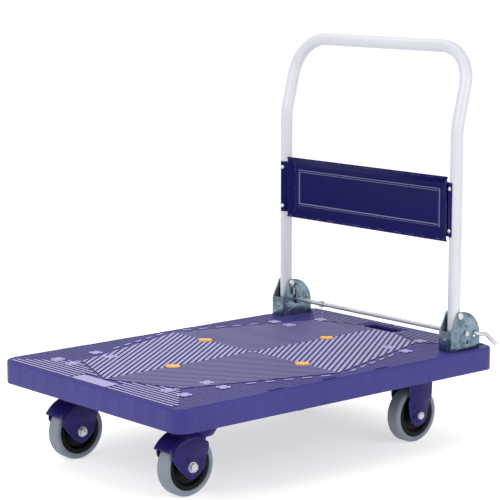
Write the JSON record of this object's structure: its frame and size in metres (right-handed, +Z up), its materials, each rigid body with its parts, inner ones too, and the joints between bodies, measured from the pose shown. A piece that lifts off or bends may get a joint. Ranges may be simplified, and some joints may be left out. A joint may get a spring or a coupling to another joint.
{
  "type": "folding platform cart",
  "caption": "Folding platform cart with a moulded deck, a fold-down tube handle with a panel, a foot release and swivel and fixed casters.",
  "frame": {"origin": "on the floor, under the middle of the overall length and width", "axes": "+Z up, +X along the deck towards the handle, +Y towards the right-hand side seen from the front end"},
  "size_m": [0.9088, 0.61, 0.8881],
  "materials": {
    "deck_plastic": "blue-violet moulded plastic with a ribbed top",
    "navy_paint": "semi-gloss navy paint on pressed steel",
    "zinc_plate": "zinc plated, slightly mottled blue-grey",
    "bright_steel": "bright plated steel",
    "handle_tube": "smooth light grey powder coat",
    "orange_pad": "soft orange grip pad",
    "grey_tyre": "grey solid elastic rubber",
    "black_hub": "black moulded plastic"
  },
  "bodies": {
    "cart": {"deck": "deck_plastic", "caster_beam_front": "navy_paint", "caster_beam_rear": "navy_paint", "deck_spine": "navy_paint", "deck_pad_1": "orange_pad", "deck_pad_2": "orange_pad", "deck_pad_3": "orange_pad", "deck_pad_4": "orange_pad", "bracket_left": "zinc_plate", "bracket_bolt_left_1": "bright_steel", "bracket_bolt_left_2": "bright_steel", "handle_pivot_left": "bright_steel", "lock_spring_left": "bright_steel", "bracket_right": "zinc_plate", "bracket_bolt_right_1": "bright_steel", "bracket_bolt_right_2": "bright_steel", "handle_pivot_right": "bright_steel", "lock_spring_right": "bright_steel", "release_spring": "bright_steel", "front_left_caster_plate": "zinc_plate", "front_left_swivel_race": "zinc_plate", "front_left_kingpin": "bright_steel", "rear_left_fork": "navy_paint", "rear_left_axle_bolt": "bright_steel", "rear_left_axle_nut": "bright_steel", "rear_left_axle_sleeve": "bright_steel", "front_right_caster_plate": "zinc_plate", "front_right_swivel_race": "zinc_plate", "front_right_kingpin": "bright_steel", "rear_right_fork": "navy_paint", "rear_right_axle_bolt": "bright_steel", "rear_right_axle_nut": "bright_steel", "rear_right_axle_sleeve": "bright_steel"},
    "handle": {"handle_tube": "handle_tube", "handle_panel": "navy_paint", "panel_rivet_left_low": "bright_steel", "panel_rivet_left_high": "bright_steel", "panel_rivet_right_low": "bright_steel", "panel_rivet_right_high": "bright_steel"},
    "release": {"release_rod": "bright_steel", "release_pedal": "bright_steel", "lock_lever_left": "zinc_plate", "lock_lever_right": "zinc_plate"},
    "front_left_wheel": {"front_left_hub": "black_hub", "front_left_tyre": "grey_tyre"},
    "front_right_wheel": {"front_right_hub": "black_hub", "front_right_tyre": "grey_tyre"},
    "rear_left_wheel": {"rear_left_hub": "black_hub", "rear_left_tyre": "grey_tyre"},
    "rear_right_wheel": {"rear_right_hub": "black_hub", "rear_right_tyre": "grey_tyre"},
    "front_left_swivel": {"front_left_fork": "navy_paint", "front_left_axle_bolt": "bright_steel", "front_left_axle_nut": "bright_steel", "front_left_axle_sleeve": "bright_steel"},
    "front_right_swivel": {"front_right_fork": "navy_paint", "front_right_axle_bolt": "bright_steel", "front_right_axle_nut": "bright_steel", "front_right_axle_sleeve": "bright_steel"}
  },
  "joints": [
    {"name": "handle_fold", "type": "hinge", "parent": "cart", "child": "handle", "pos_m": [0.34107, 0, 0.293], "axis": [0, -1, 0], "range_deg": [0, 90]},
    {"name": "pedal_press", "type": "hinge", "parent": "cart", "child": "release", "pos_m": [0.36307, 0, 0.2505], "axis": [0, 1, 0], "range_deg": [0, 6], "stiffness_Nm_per_rad": 2, "springref_deg": -20.05},
    {"name": "front_left_turn", "type": "hinge", "parent": "cart", "child": "front_left_swivel", "pos_m": [-0.31043, -0.187, 0.14], "axis": [0, 0, 1], "continuous": true},
    {"name": "front_left_roll", "type": "hinge", "parent": "front_left_swivel", "child": "front_left_wheel", "pos_m": [-0.34643, -0.187, 0.0625], "axis": [0, 1, 0], "continuous": true},
    {"name": "front_right_turn", "type": "hinge", "parent": "cart", "child": "front_right_swivel", "pos_m": [-0.31043, 0.187, 0.14], "axis": [0, 0, 1], "continuous": true},
    {"name": "front_right_roll", "type": "hinge", "parent": "front_right_swivel", "child": "front_right_wheel", "pos_m": [-0.34643, 0.187, 0.0625], "axis": [0, 1, 0], "continuous": true},
    {"name": "rear_left_roll", "type": "hinge", "parent": "cart", "child": "rear_left_wheel", "pos_m": [0.30157, -0.187, 0.0625], "axis": [0, 1, 0], "continuous": true},
    {"name": "rear_right_roll", "type": "hinge", "parent": "cart", "child": "rear_right_wheel", "pos_m": [0.30157, 0.187, 0.0625], "axis": [0, 1, 0], "continuous": true}
  ]
}
